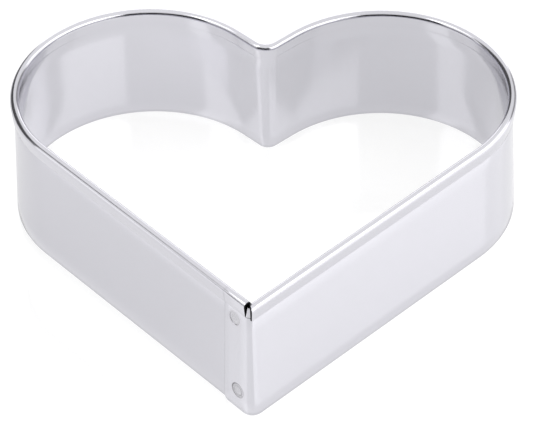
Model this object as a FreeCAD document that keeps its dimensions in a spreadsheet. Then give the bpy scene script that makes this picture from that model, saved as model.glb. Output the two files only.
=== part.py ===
"""Heart-shaped cookie cutter: one rolled steel strip, lapped at the tip and held by two spot welds.

Millimetres, +Z up. The cutting edge lies in z = 0 and the rolled rim is on top. The heart's axis is Y,
with the cleft at the back (+Y) and the tip in front (-Y); the origin is the middle of its footprint.
"""
import FreeCAD, Part
import math
import os
from enum import IntEnum

import Sketcher
from FreeCAD import Placement, Rotation, Vector

os.makedirs("parts", exist_ok=True)
doc = FreeCAD.newDocument("heart_cutter")

# Driving dimensions. The heart is measured where it cuts, over the outside of the strip.
SIZES = {
    "heart_width": 92.0,
    "heart_depth": 82.8,
    "lobe_radius": 24.2,          # inside of each lobe from the cleft to its back, at the cutting edge
    "shoulder_slope": 44.0,       # of the straight bit beside the cleft, in degrees
    "cleft_depth": 10.4,          # from the back of the lobes into the valley
    "cleft_bend_radius": 2.1,     # inside face of the cleft bend, at the cutting edge
    "tip_bend_radius": 0.4,       # inside of the tip bend, where the wall meets the hem
    "wall_height": 25.0,
    "sheet": 0.4,
    "edge_flare": 0.9,            # the cutting edge stands this far outside the foot of the hem
    "hem_height": 3.1,
    "roll_diameter": 1.6,
    "roll_offset": 0.3,           # roll centre, outwards of the wall's inside face
    "lip_gap": 0.1,               # between the hem's free lip and the wall
    "lip_clearance": 0.15,        # the lip ends this far above the top of the tab
    "lap_gap": 0.05,              # between the two layers of the lap
    "tab_length": 5.7,            # flat of the tab past the tip bend
    "tab_corner_radius": 1.2,
    "tongue_setback": 0.7,        # inner layer's end, from the sharp corner of the tip
    "roll_overhang": 0.5,         # the right roll runs on past the start of the tip bend
    "weld_diameter": 2.6,
    "weld_fit": 0.02,             # round the nugget, on the radius
    "dent_diameter": 2.1,
    "dent_slope": 0.1,
    "dent_depth": 0.12,
    "upper_weld_drop": 1.9,       # below the foot of the hem
    "upper_weld_inset": 2.9,      # from the tab's free edge
    "lower_weld_height": 4.1,
    "lower_weld_inset": 3.8,
}
sheet = doc.addObject("Spreadsheet::Sheet", "Sizes")
for row, (alias, size) in enumerate(SIZES.items(), start=1):
    sheet.set(f"A{row}", alias)
    sheet.set(f"B{row}", str(size))
    sheet.setAlias(f"B{row}", alias)
doc.recompute()

# Sizes that several features share, as formulas over the sheet.
NECK_HEIGHT = "(Sizes.wall_height - Sizes.hem_height)"
LIP_HEIGHT = f"({NECK_HEIGHT} + Sizes.lip_clearance)"
ROLL_RADIUS = "(Sizes.roll_diameter / 2)"
ROLL_HEIGHT = f"(Sizes.wall_height - {ROLL_RADIUS})"
SIDE_X = "(Sizes.heart_width / 2 - Sizes.sheet - Sizes.edge_flare)"
BACK_Y = "(Sizes.heart_depth / 2 - Sizes.sheet - Sizes.edge_flare)"
PATH_LOBE_RADIUS = "(Sizes.lobe_radius - Sizes.edge_flare)"
PATH_CLEFT_RADIUS = "(Sizes.cleft_bend_radius + Sizes.edge_flare)"
CLEFT_Y = f"({BACK_Y} - Sizes.cleft_depth)"
TIP_Y = f"({BACK_Y} - Sizes.tip_bend_radius)"
LAP_STEP = "(Sizes.sheet + Sizes.lap_gap)"
HOLE_REACH = f"(2 * {LAP_STEP})"
LIP_OFFSET = "(Sizes.sheet + Sizes.lip_gap)"
WELD_HEIGHTS = {
    "upper": f"({NECK_HEIGHT} - Sizes.upper_weld_drop)",
    "lower": "Sizes.lower_weld_height",
}

# The hem's hollow is drawn with three flats inside its round bore, which only shows at the tip.
BORE_FLATS = ("bore_front", "bore_top", "bore_back")
LEG_LINES = ("foot", "leg_inside", "roll_foot", "head", "leg_outside")
ROLL_LINES = ("roll", *BORE_FLATS, "flap_outside", "flap_inside", "lip", "head")


class Spot(IntEnum):
    """The point of a curve that a constraint holds."""

    START = 1
    END = 2
    CENTRE = 3


class Axis(IntEnum):
    """A sketch's own axes, by the numbers that constraints know them by."""

    ACROSS = -1
    UP = -2


START, END, CENTRE = Spot
X_AXIS, Y_AXIS = Axis
ORIGIN = (X_AXIS, START)


def value(formula):
    """The number that a formula over the sheet gives."""
    return float(sheet.evalExpression(formula))


def polar(angle, length=1.0):
    """A plane vector of a length at an angle in radians."""
    return Vector(length * math.cos(angle), length * math.sin(angle), 0)


def touch_point(point, centre, radius, side):
    """Where a line from a point touches a circle; side +1 passes left of the centre, -1 right."""
    sight = centre - point
    angle = math.atan2(sight.y, sight.x) + side * math.asin(radius / sight.Length)
    return point + polar(angle, math.sqrt(sight.Length**2 - radius**2))


def arc(centre, radius, start, end):
    """An arc of a circle, anticlockwise from one angle to another."""
    return Part.ArcOfCircle(Part.Circle(centre, Vector(0, 0, 1), radius), start, end)


def heading(centre, point):
    """The angle at which a circle's centre sees a point."""
    return math.atan2(point.y - centre.y, point.x - centre.x)


def nearest_edge(shape, point):
    """Name of the shape's edge whose middle lies nearest to a point."""
    spans = [(edge.CenterOfMass - point).Length for edge in shape.Edges]
    return f"Edge{spans.index(min(spans)) + 1}"


class Drawing:
    """A sketch on one of its body's origin planes, with sizes bound to the sheet."""

    def __init__(self, body, name, plane):
        self.sketch = body.newObject("Sketcher::SketchObject", name)
        support = next(f for f in body.Origin.OriginFeatures if f.Role == plane)
        self.sketch.AttachmentSupport = [(support, "")]
        self.sketch.MapMode = "FlatFace"

    def add(self, geometry, construction=False):
        """Add one curve and return its number."""
        return self.sketch.addGeometry(geometry, construction)

    def line(self, start, end):
        """Add a straight line."""
        return self.add(Part.LineSegment(start, end))

    def polygon(self, points):
        """Add a closed run of lines."""
        lines = [self.line(a, b) for a, b in zip(points, points[1:] + points[:1])]
        for first, second in zip(lines, lines[1:] + lines[:1]):
            self.rule("Coincident", first, END, second, START)
        return lines

    def rule(self, kind, *references):
        """Add a geometric constraint."""
        self.sketch.addConstraint(Sketcher.Constraint(kind, *references))

    def size(self, name, kind, references, formula):
        """Add a dimension that follows the sheet."""
        start = math.radians(value(formula)) if kind == "Angle" else value(formula)
        number = self.sketch.addConstraint(Sketcher.Constraint(kind, *references, start))
        self.sketch.renameConstraint(number, name)
        self.sketch.setExpression(f"Constraints.{name}", formula)

    def place(self, name, curve, point, across, up):
        """Fix a point of a curve by its two distances from the sketch's origin."""
        self.size(f"{name}_across", "DistanceX", (*ORIGIN, curve, point), across)
        self.size(f"{name}_up", "DistanceY", (*ORIGIN, curve, point), up)


def draw_plan(body):
    """The strip's path in plan: the wall's inside face at the foot of the hem.

    Returns the sketch and its edges by name. The path runs both ways from the cleft; the right end
    turns the tip and lies outside the left end as a tab, while its roll runs straight on a little way.
    """
    plan = Drawing(body, "plan", "XY_Plane")
    lobe_radius, cleft_radius = value(PATH_LOBE_RADIUS), value(PATH_CLEFT_RADIUS)
    tip_radius, lap_step = value("Sizes.tip_bend_radius"), value(LAP_STEP)
    slope, back = math.radians(value("Sizes.shoulder_slope")), value(BACK_Y)
    cleft = Vector(0, value(CLEFT_Y) + cleft_radius, 0)
    tip = Vector(-lap_step * math.sqrt(0.5), -value(TIP_Y), 0)

    # A lobe touches the shoulder's line and the heart's back; its outer arc goes on to the widest point.
    sharp_valley = cleft.y - cleft_radius / math.cos(slope)
    drop = back - lobe_radius - sharp_valley
    lobe = Vector((lobe_radius + drop * math.cos(slope)) / math.sin(slope), back - lobe_radius, 0)
    round_radius = value(SIDE_X) - lobe.x
    outer = Vector(lobe.x, back - round_radius, 0)
    down = outer - tip
    half_tip = math.atan2(down.x, down.y) + math.asin((round_radius - tip_radius) / down.Length)

    def mirrored(point):
        return Vector(-point.x, point.y, 0)

    cleft_end = cleft + polar(slope - math.pi / 2, cleft_radius)
    lobe_start = lobe + polar(slope + math.pi / 2, lobe_radius)
    lobe_end = outer + polar(-half_tip, round_radius)
    bend_start = tip + polar(-half_tip, tip_radius)
    bend_end = tip + polar(math.pi + half_tip, tip_radius)
    roll_end = bend_start + polar(-math.pi / 2 - half_tip, value("Sizes.roll_overhang"))
    up_left = polar(math.pi / 2 + half_tip)
    corner = Vector(0, lobe_end.y - lobe_end.x / math.tan(half_tip), 0)
    tongue_end = corner + up_left * value("Sizes.tongue_setback")
    tab_end = bend_end + up_left * value("Sizes.tab_length")

    valley, backmost = -math.pi / 2, math.pi / 2
    curves = {
        "right_cleft": plan.add(arc(cleft, cleft_radius, valley, valley + slope)),
        "right_shoulder": plan.line(cleft_end, lobe_start),
        "right_lobe": plan.add(arc(lobe, lobe_radius, backmost, backmost + slope)),
        "right_round": plan.add(arc(outer, round_radius, -half_tip, backmost)),
        "right_side": plan.line(lobe_end, bend_start),
        "right_overhang": plan.line(bend_start, roll_end),
        "tip_bend": plan.add(arc(tip, tip_radius, -math.pi + half_tip, -half_tip)),
        "tab": plan.line(bend_end, tab_end),
        "left_cleft": plan.add(arc(cleft, cleft_radius, valley - slope, valley)),
        "left_shoulder": plan.line(mirrored(cleft_end), mirrored(lobe_start)),
        "left_lobe": plan.add(arc(mirrored(lobe), lobe_radius, backmost - slope, backmost)),
        "left_round": plan.add(arc(mirrored(outer), round_radius, backmost, math.pi + half_tip)),
        "left_side": plan.line(mirrored(lobe_end), tongue_end),
    }
    sharp_corner = plan.add(Part.Point(corner), True)
    reach = plan.add(Part.LineSegment(outer, outer + polar(0, round_radius)), True)

    joints = (
        ("right_cleft", END, "right_shoulder", START),
        ("right_shoulder", END, "right_lobe", END),
        ("right_round", START, "right_side", START),
        ("right_side", END, "tip_bend", END),
        ("right_side", END, "right_overhang", START),
        ("tip_bend", START, "tab", START),
        ("left_cleft", START, "left_shoulder", START),
        ("left_shoulder", END, "left_lobe", START),
        ("left_round", END, "left_side", START),
    )
    for first, first_end, second, second_end in joints:
        plan.rule("Tangent", curves[first], first_end, curves[second], second_end)

    plan.rule("Coincident", curves["right_cleft"], CENTRE, curves["left_cleft"], CENTRE)
    plan.rule("Coincident", curves["right_cleft"], START, curves["left_cleft"], END)
    plan.rule("PointOnObject", curves["right_cleft"], CENTRE, Y_AXIS)
    plan.rule("PointOnObject", curves["right_cleft"], START, Y_AXIS)
    plan.size("valley", "DistanceY", (*ORIGIN, curves["right_cleft"], START), CLEFT_Y)
    plan.size("cleft_bend", "Radius", (curves["right_cleft"],), PATH_CLEFT_RADIUS)
    plan.size("slope", "Angle", (curves["right_shoulder"],), "Sizes.shoulder_slope * 1 deg")
    plan.size("lobe", "Radius", (curves["right_lobe"],), PATH_LOBE_RADIUS)
    plan.size("back", "DistanceY", (*ORIGIN, curves["right_lobe"], START), BACK_Y)
    plan.rule("Coincident", reach, START, curves["right_round"], CENTRE)
    plan.rule("PointOnObject", reach, END, curves["right_round"])
    plan.rule("Horizontal", reach)
    plan.size("side", "DistanceX", (*ORIGIN, reach, END), SIDE_X)
    plan.rule("Symmetric", curves["right_lobe"], START, curves["left_lobe"], END, Y_AXIS)
    for lobe_name, lobe_back, round_name, round_back in (
        ("right_lobe", START, "right_round", END),
        ("left_lobe", END, "left_round", START),
    ):
        plan.rule("Coincident", curves[lobe_name], lobe_back, curves[round_name], round_back)
        plan.rule("Vertical", curves[lobe_name], lobe_back, curves[lobe_name], CENTRE)
        plan.rule("Vertical", curves[round_name], round_back, curves[round_name], CENTRE)
    plan.rule("Equal", curves["right_lobe"], curves["left_lobe"])
    plan.rule("Equal", curves["right_round"], curves["left_round"])

    plan.rule("PointOnObject", sharp_corner, START, Y_AXIS)
    plan.rule("PointOnObject", sharp_corner, START, curves["right_side"])
    plan.rule("PointOnObject", sharp_corner, START, curves["left_side"])
    plan.size("tip_bend", "Radius", (curves["tip_bend"],), "Sizes.tip_bend_radius")
    plan.size("tip", "DistanceY", (curves["tip_bend"], CENTRE, *ORIGIN), TIP_Y)
    plan.rule("Parallel", curves["tab"], curves["left_side"])
    plan.size("lap", "Distance", (curves["tab"], END, curves["left_side"]), LAP_STEP)
    plan.size("tab", "Distance", (curves["tab"],), "Sizes.tab_length")
    plan.size("overhang", "Distance", (curves["right_overhang"],), "Sizes.roll_overhang")
    plan.size("tongue", "Distance", (curves["left_side"], END, sharp_corner, START), "Sizes.tongue_setback")
    doc.recompute()
    drawn = plan.sketch.Geometry
    middles = {name: drawn[number].toShape().CenterOfMass for name, number in curves.items()}
    edges = {name: nearest_edge(plan.sketch.Shape, middle) for name, middle in middles.items()}
    return plan.sketch, edges


def draw_wall(body):
    """Section of the plain wall at the cleft, from the cutting edge to the foot of the hem."""
    section = Drawing(body, "wall_section", "YZ_Plane")
    inside, thick = value(CLEFT_Y), value("Sizes.sheet")
    foot, neck = inside + value("Sizes.edge_flare"), value(NECK_HEIGHT)
    top, _, bottom, _ = section.polygon([
        Vector(inside, neck, 0), Vector(inside + thick, neck, 0),
        Vector(foot + thick, 0, 0), Vector(foot, 0, 0),
    ])
    section.rule("Horizontal", top)
    section.rule("PointOnObject", bottom, START, X_AXIS)
    section.rule("PointOnObject", bottom, END, X_AXIS)
    section.place("neck", top, START, CLEFT_Y, NECK_HEIGHT)
    section.size("neck_sheet", "DistanceX", (top, START, top, END), "Sizes.sheet")
    section.size("flare", "DistanceX", (top, START, bottom, END), "Sizes.edge_flare")
    section.size("edge_sheet", "DistanceX", (bottom, END, bottom, START), "Sizes.sheet")
    return section.sketch


class HemPoints:
    """Corner and touching points of the teardrop hem, as a first guess for its sketches."""

    def __init__(self):
        inside, thick = value(CLEFT_Y), value("Sizes.sheet")
        self.outer_radius = value(ROLL_RADIUS)
        self.inner_radius = self.outer_radius - thick
        self.centre = Vector(inside + value("Sizes.roll_offset"), value(ROLL_HEIGHT), 0)
        self.neck_inside = Vector(inside, value(NECK_HEIGHT), 0)
        self.neck_outside = self.neck_inside + Vector(thick, 0, 0)
        self.leg_inside = touch_point(self.neck_inside, self.centre, self.outer_radius, 1)
        self.lip_inside = Vector(inside + value(LIP_OFFSET), value(LIP_HEIGHT), 0)
        self.flap_inside = touch_point(self.lip_inside, self.centre, self.inner_radius, -1)
        outwards = (self.flap_inside - self.centre).normalize()
        self.flap_outside = self.centre + outwards * self.outer_radius
        self.lip_outside = self.lip_inside + Vector(thick / outwards.x, 0, 0)


def draw_hem(body, name, drawn):
    """A section of the teardrop hem; of all its lines, only the drawn ones bound the section.

    The inner leg leans in from the wall to the roll, where its head is level with the roll's centre.
    The flap comes back down to the wall outside.
    """
    section = Drawing(body, name, "YZ_Plane")
    hem = HemPoints()
    level, full_turn = math.pi, 2 * math.pi
    flap_angle = heading(hem.centre, hem.flap_inside)
    leg_angle = heading(hem.centre, hem.leg_inside) % full_turn
    head_inside = hem.centre + polar(level, hem.outer_radius)
    turn = (flap_angle - level) / len(BORE_FLATS)
    bore = [hem.centre + polar(level + turn * step, hem.inner_radius) for step in range(len(BORE_FLATS) + 1)]
    flats = {key: Part.LineSegment(a, b) for key, a, b in zip(BORE_FLATS, bore, bore[1:])}
    shapes = {
        "roll": arc(hem.centre, hem.outer_radius, flap_angle, level),
        "roll_foot": arc(hem.centre, hem.outer_radius, level, leg_angle),
        "bore": arc(hem.centre, hem.inner_radius, flap_angle, level),
        **flats,
        "flap_outside": Part.LineSegment(hem.flap_outside, hem.lip_outside),
        "flap_inside": Part.LineSegment(hem.flap_inside, hem.lip_inside),
        "lip": Part.LineSegment(hem.lip_inside, hem.lip_outside),
        "head": Part.LineSegment(head_inside, bore[0]),
        "leg_inside": Part.LineSegment(hem.neck_inside, hem.leg_inside),
        "leg_outside": Part.LineSegment(hem.neck_outside, bore[0]),
        "foot": Part.LineSegment(hem.neck_inside, hem.neck_outside),
    }
    curves = {key: section.add(shape, key not in drawn) for key, shape in shapes.items()}
    joints = (
        ("Tangent", "roll", START, "flap_outside", START),
        ("Tangent", "bore", START, "flap_inside", START),
        ("Tangent", "roll_foot", END, "leg_inside", END),
        ("Coincident", "leg_outside", END, "bore", END),
        ("Coincident", "roll", CENTRE, "bore", CENTRE),
        ("Coincident", "roll", CENTRE, "roll_foot", CENTRE),
        ("Coincident", "roll", END, "roll_foot", START),
        ("Coincident", "bore_front", START, "bore", END),
        ("Coincident", "bore_front", END, "bore_top", START),
        ("Coincident", "bore_top", END, "bore_back", START),
        ("Coincident", "bore_back", END, "bore", START),
        ("Horizontal", "roll", CENTRE, "roll", END),
        ("Horizontal", "bore", CENTRE, "bore", END),
        ("Coincident", "head", START, "roll", END),
        ("Coincident", "head", END, "bore", END),
        ("Coincident", "lip", START, "flap_inside", END),
        ("Coincident", "lip", END, "flap_outside", END),
        ("Coincident", "foot", START, "leg_inside", START),
        ("Coincident", "foot", END, "leg_outside", START),
    )
    for kind, first, first_end, second, second_end in joints:
        section.rule(kind, curves[first], first_end, curves[second], second_end)
    section.rule("Horizontal", curves["lip"])
    section.rule("Horizontal", curves["foot"])
    section.rule("Parallel", curves["flap_inside"], curves["flap_outside"])
    section.rule("PointOnObject", curves["bore_top"], START, curves["bore"])
    section.rule("PointOnObject", curves["bore_top"], END, curves["bore"])
    section.rule("Equal", curves["bore_front"], curves["bore_top"])
    section.rule("Equal", curves["bore_top"], curves["bore_back"])
    section.place("neck", curves["foot"], START, CLEFT_Y, NECK_HEIGHT)
    section.size("neck_sheet", "DistanceX", (curves["foot"], START, curves["foot"], END), "Sizes.sheet")
    section.place("roll", curves["roll"], CENTRE, f"({CLEFT_Y} + Sizes.roll_offset)", ROLL_HEIGHT)
    section.size("roll_radius", "Radius", (curves["roll"],), ROLL_RADIUS)
    section.size("bore_radius", "Radius", (curves["bore"],), f"({ROLL_RADIUS} - Sizes.sheet)")
    section.place("lip", curves["lip"], START, f"({CLEFT_Y} + {LIP_OFFSET})", LIP_HEIGHT)
    return section.sketch


def sweep(body, name, section, plan, edges):
    """Sweep a section along edges of the plan; the path is flat, so the section stays upright."""
    pipe = body.newObject("PartDesign::AdditivePipe", name)
    pipe.Profile = section
    pipe.Spine = (plan, edges)
    doc.recompute()
    return pipe


class LapFrame:
    """Where the lap lies: the tab's free edge in plan, the way along it and the way out of it."""

    def __init__(self, plan, edges):
        tab = plan.Shape.getElement(edges["tab"])
        self.end = tab.valueAt(tab.LastParameter)
        self.back = (tab.valueAt(tab.FirstParameter) - self.end).normalize()
        self.lean = value(f"Sizes.edge_flare / {NECK_HEIGHT}")
        flat_out = Vector(-self.back.y, self.back.x, 0)
        self.flat_out = flat_out if flat_out.y < 0 else -flat_out
        self.out = (self.flat_out + Vector(0, 0, self.lean)).normalize()

    def point(self, inset, height, depth):
        """A point of the lap: inset from the free edge, height up, depth out of the tab's inside face."""
        flare = self.lean * (value(NECK_HEIGHT) - height)
        return self.end + self.back * inset + self.flat_out * (flare + depth) + Vector(0, 0, height)

    def weld_place(self, which):
        """Placement of a weld: centred between the layers, its axis square to the sheet."""
        inset, height = value(f"Sizes.{which}_weld_inset"), value(WELD_HEIGHTS[which])
        middle = -value("Sizes.lap_gap") / 2
        return Placement(self.point(inset, height, middle), Rotation(Vector(0, 0, 1), self.out))


def build_strip():
    """The strip: walls, hem and lap of one sheet, bent to a heart. Returns its body and the lap."""
    body = doc.addObject("PartDesign::Body", "strip")
    body.Label = "heart_strip"
    plan, edges = draw_plan(body)
    sections = {
        "wall": draw_wall(body),
        "leg": draw_hem(body, "leg_section", LEG_LINES),
        "roll": draw_hem(body, "roll_section", ROLL_LINES),
    }
    doc.recompute()
    lap = LapFrame(plan, edges)

    stretches = ("cleft", "shoulder", "lobe", "round", "side")
    right = [edges[f"right_{stretch}"] for stretch in stretches]
    left = [edges[f"left_{stretch}"] for stretch in stretches]
    bend, tab = edges["tip_bend"], edges["tab"]

    # The right end is plain where it turns the tip: only the leg of its hem follows the bend.
    right_wall = sweep(body, "right_wall", sections["wall"], plan, right + [bend, tab])
    corner = body.newObject("PartDesign::Fillet", "tab_corner")
    free_corner = lap.point(0, 0, value("Sizes.sheet") / 2)
    corner.Base = (right_wall, [nearest_edge(right_wall.Shape, free_corner)])
    corner.setExpression("Radius", "Sizes.tab_corner_radius")
    doc.recompute()
    sweep(body, "right_leg", sections["leg"], plan, right + [bend])
    sweep(body, "right_roll", sections["roll"], plan, right + [edges["right_overhang"]])
    for part in ("wall", "leg", "roll"):
        sweep(body, f"left_{part}", sections[part], plan, left)

    # Each hole goes clear through both layers, from a reach below the middle of the lap to a reach above.
    below = Placement(Vector(0, 0, -value(HOLE_REACH)), Rotation())
    for which in ("upper", "lower"):
        hole = body.newObject("PartDesign::SubtractiveCylinder", f"{which}_weld_hole")
        hole.setExpression("Radius", "Sizes.weld_diameter / 2")
        hole.setExpression("Height", f"2 * {HOLE_REACH}")
        hole.Placement = lap.weld_place(which).multiply(below)
        doc.recompute()
    return body, lap


def build_weld(which, lap):
    """One spot weld: the nugget through both layers, with an electrode dent in each face."""
    body = doc.addObject("PartDesign::Body", f"{which}_weld")
    body.Label = f"{which}_spot_weld"
    half = "(Sizes.sheet + Sizes.lap_gap / 2)"
    rim, dent = "(Sizes.weld_diameter / 2 - Sizes.weld_fit)", "(Sizes.dent_diameter / 2)"
    floor, sunk = f"({dent} - Sizes.dent_slope)", f"({half} - Sizes.dent_depth)"
    corners = (
        ("floor_middle", None, sunk), ("floor", floor, sunk), ("dent", dent, half), ("rim", rim, half),
    )
    section = Drawing(body, f"{which}_nugget", "XZ_Plane")
    upper = [Vector(value(across) if across else 0, value(up), 0) for _, across, up in corners]
    lower = [Vector(point.x, -point.y, 0) for point in reversed(upper)]
    lines = section.polygon(upper + lower)
    for (name, across, up), line, mirror in zip(corners, lines, reversed(lines[:-1])):
        section.size(f"{name}_up", "DistanceY", (*ORIGIN, line, START), up)
        section.size(f"{name}_down", "DistanceY", (mirror, END, *ORIGIN), up)
        for side, curve, point in (("top", line, START), ("base", mirror, END)):
            if across:
                section.size(f"{name}_{side}", "DistanceX", (*ORIGIN, curve, point), across)
            else:
                section.rule("PointOnObject", curve, point, Y_AXIS)
    nugget = body.newObject("PartDesign::Revolution", f"{which}_revolution")
    nugget.Profile = section.sketch
    nugget.ReferenceAxis = (section.sketch, ["V_Axis"])
    nugget.Angle = 360.0
    body.Placement = lap.weld_place(which)
    doc.recompute()
    return body


strip, strip_lap = build_strip()
pieces = [strip] + [build_weld(which, strip_lap) for which in ("upper", "lower")]
doc.recompute()

for item in doc.Objects:
    if "Invalid" in item.State or "Error" in item.State:
        raise RuntimeError(f"{item.Label} failed: {item.State}")
for piece in pieces:
    if piece.Shape.isNull() or not piece.Shape.isValid() or len(piece.Shape.Solids) != 1:
        raise RuntimeError(f"{piece.Label} is not one valid solid")

for piece in pieces:
    piece.Shape.exportStep(f"parts/{piece.Label}.step")
    print(f"{piece.Label}: {piece.Shape.Volume:.2f} mm3, {len(piece.Shape.Faces)} faces")
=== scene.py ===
"""Looks of a heart-shaped cookie cutter: bright strip, spot welds, white table and soft light.

Metres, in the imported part's own frame: +Z up, the cutting edge on z = 0, the tip towards -Y.
"""
import logging
import math
from dataclasses import dataclass, field
from enum import Enum
from typing import Callable

import bmesh
import bpy
from mathutils import Matrix, Vector


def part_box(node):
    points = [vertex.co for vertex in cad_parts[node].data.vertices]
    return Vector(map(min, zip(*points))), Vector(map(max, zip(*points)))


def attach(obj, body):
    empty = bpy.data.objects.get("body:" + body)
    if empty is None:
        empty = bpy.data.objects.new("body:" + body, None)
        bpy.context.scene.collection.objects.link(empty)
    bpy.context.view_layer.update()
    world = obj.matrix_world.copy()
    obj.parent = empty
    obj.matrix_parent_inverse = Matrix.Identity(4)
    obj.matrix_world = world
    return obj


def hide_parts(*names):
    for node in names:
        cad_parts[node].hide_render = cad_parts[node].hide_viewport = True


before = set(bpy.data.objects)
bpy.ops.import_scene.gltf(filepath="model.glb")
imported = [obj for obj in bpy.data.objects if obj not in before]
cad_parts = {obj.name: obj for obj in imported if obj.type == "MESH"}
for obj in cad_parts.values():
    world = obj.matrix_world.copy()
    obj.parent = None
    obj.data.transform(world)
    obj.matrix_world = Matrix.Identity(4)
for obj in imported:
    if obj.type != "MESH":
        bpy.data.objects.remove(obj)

LOG = logging.getLogger("heart_cutter")
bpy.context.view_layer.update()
MM = 0.001
UP = Vector((0.0, 0.0, 1.0))
SAME_PLACE = 0.001 * MM
WHITE = (1.0, 1.0, 1.0, 1.0)
BODY = "root"
STRIP_UV = "along_strip"
HOLLOW = "hem_hollow"
OUTER_SKIN = "outer_skin"


class Node(Enum):
    """CAD nodes that the scene stands in for."""

    STRIP = "heart_strip"
    UPPER_WELD = "upper_spot_weld"
    LOWER_WELD = "lower_spot_weld"


class Slot(Enum):
    """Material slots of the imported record."""

    STRIP = "strip_steel"
    WELD = "weld_steel"


def level_vector(angle: float, length: float = 1.0) -> Vector:
    """Return a level vector of a length at an angle from +X.

    Args:
        angle: Angle in radians, anticlockwise seen from above.
        length: Length in metres.

    Returns:
        The vector, with no height.
    """
    return Vector((length * math.cos(angle), length * math.sin(angle), 0.0))


def mirrored(point: Vector) -> Vector:
    """Return a point on the other side of the heart's axis."""
    return Vector((-point.x, point.y, point.z))


@dataclass(frozen=True)
class StripSizes:
    """Sizes of the bent strip; its overall size comes from the CAD node."""

    width: float
    depth: float
    height: float
    lobe_radius: float = 24.2 * MM
    shoulder_slope: float = math.radians(44.0)
    cleft_depth: float = 10.4 * MM
    cleft_bend_radius: float = 2.1 * MM
    tip_bend_radius: float = 0.8 * MM
    tip_setback: float = 0.08 * MM
    sheet: float = 0.4 * MM
    edge_flare: float = 0.9 * MM
    hem_height: float = 3.1 * MM
    roll_diameter: float = 1.6 * MM
    roll_offset: float = 0.3 * MM
    lip_gap: float = 0.1 * MM
    lip_clearance: float = 0.15 * MM
    lap_gap: float = 0.05 * MM
    tab_length: float = 5.1 * MM
    tab_corner_radius: float = 1.2 * MM
    tongue_setback: float = 0.7 * MM
    roll_overhang: float = 0.72 * MM
    mitre_slope: float = 0.58
    tongue_drop: float = 1.15 * MM

    @classmethod
    def from_frame(cls) -> "StripSizes":
        """Return the sizes with the overall ones read from the CAD strip."""
        low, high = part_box(Node.STRIP.value)
        return cls(width=high.x - low.x, depth=high.y - low.y, height=high.z - low.z)

    @property
    def neck(self) -> float:
        """Height at which the plain wall meets the hem."""
        return self.height - self.hem_height

    @property
    def flare_slope(self) -> float:
        """Run of the wall outwards for each unit down."""
        return self.edge_flare / self.neck

    @property
    def wall_lean(self) -> float:
        """Angle of the wall from upright, in radians."""
        return math.atan(self.flare_slope)

    @property
    def inset(self) -> float:
        """Distance from the outside of the cutting edge to the path at the neck."""
        return self.sheet + self.edge_flare

    @property
    def tongue_head(self) -> float:
        """Height of the top of the end that is folded round the tip."""
        return self.height - self.tongue_drop

    @property
    def lap_step(self) -> float:
        """Distance between the inside faces of the two layers of the lap."""
        return self.sheet + self.lap_gap


class HeartPath:
    """The strip's path in plan: its inside face at the neck, from the cleft both ways to the tip."""

    TIP_PASSES = 30

    def __init__(self, sizes: StripSizes) -> None:
        """Work out the centres, radii and ends of the path.

        Args:
            sizes: Sizes of the strip.
        """
        slope = sizes.shoulder_slope
        back = sizes.depth / 2 - sizes.inset
        self.slope = slope
        self.cleft_radius = sizes.cleft_bend_radius + sizes.edge_flare
        self.valley = Vector((0.0, back - sizes.cleft_depth, 0.0))
        self.cleft = self.valley + Vector((0.0, self.cleft_radius, 0.0))

        lobe_radius = sizes.lobe_radius - sizes.edge_flare
        sharp_valley = self.cleft.y - self.cleft_radius / math.cos(slope)
        drop = back - lobe_radius - sharp_valley
        lobe_x = (lobe_radius + drop * math.cos(slope)) / math.sin(slope)
        self.lobe = Vector((lobe_x, back - lobe_radius, 0.0))
        round_radius = sizes.width / 2 - sizes.inset - lobe_x
        self.outer = Vector((lobe_x, back - round_radius, 0.0))

        tip_y = back - sizes.tip_bend_radius - sizes.tip_setback
        self.half_tip = self._tip_angle(sizes, round_radius, tip_y)
        self.shoulder = self.lobe + level_vector(slope + math.pi / 2, lobe_radius)
        self.shoulder -= self.cleft + level_vector(slope - math.pi / 2, self.cleft_radius)
        self.lobe_end = self.outer + level_vector(-self.half_tip, round_radius)
        self.up_left = level_vector(math.pi / 2 + self.half_tip)
        corner = Vector((0.0, self.lobe_end.y - self.lobe_end.x / math.tan(self.half_tip), 0.0))
        self.tongue_end = corner + self.up_left * sizes.tongue_setback

        outwards = level_vector(math.pi + self.half_tip)
        lap_line = corner + outwards * sizes.lap_step
        self.tip = self._bend_centre(lap_line, sizes, tip_y)
        self.bend_start = self.tip + level_vector(-self.half_tip, sizes.tip_bend_radius)
        self.bend_end = self.tip + outwards * sizes.tip_bend_radius
        self.tab = self.up_left * sizes.tab_length
        self.out_right = level_vector(-self.half_tip)
        self.out_left = outwards
        self.lap_out = outwards * math.cos(sizes.wall_lean) + UP * math.sin(sizes.wall_lean)

    def _tip_angle(self, sizes: StripSizes, radius: float, tip_y: float) -> float:
        """Return half the angle of the tip, found by moving the tip's bend until both sides fit.

        Args:
            sizes: Sizes of the strip.
            radius: Radius of the lobe's outer arc.
            tip_y: Distance of the tip's bend in front of the middle.

        Returns:
            Half the tip's angle in radians.
        """
        angle = math.pi / 4
        for _ in range(self.TIP_PASSES):
            shift = sizes.lap_step / (2 * math.cos(angle))
            down = self.outer - Vector((-shift, -tip_y, 0.0))
            angle = math.atan2(down.x, down.y)
            angle += math.asin((radius - sizes.tip_bend_radius) / down.length)
        return angle

    def _bend_centre(self, lap_line: Vector, sizes: StripSizes, tip_y: float) -> Vector:
        """Return the centre of the tip's bend, which touches the right side and the outer layer.

        Args:
            lap_line: A point on the inside face of the lap's outer layer.
            sizes: Sizes of the strip.
            tip_y: Distance of the bend's centre in front of the middle.

        Returns:
            The centre in plan.
        """
        inside = lap_line - level_vector(math.pi + self.half_tip, sizes.tip_bend_radius)
        along = (-tip_y - inside.y) / self.up_left.y
        return inside + self.up_left * along


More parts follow.
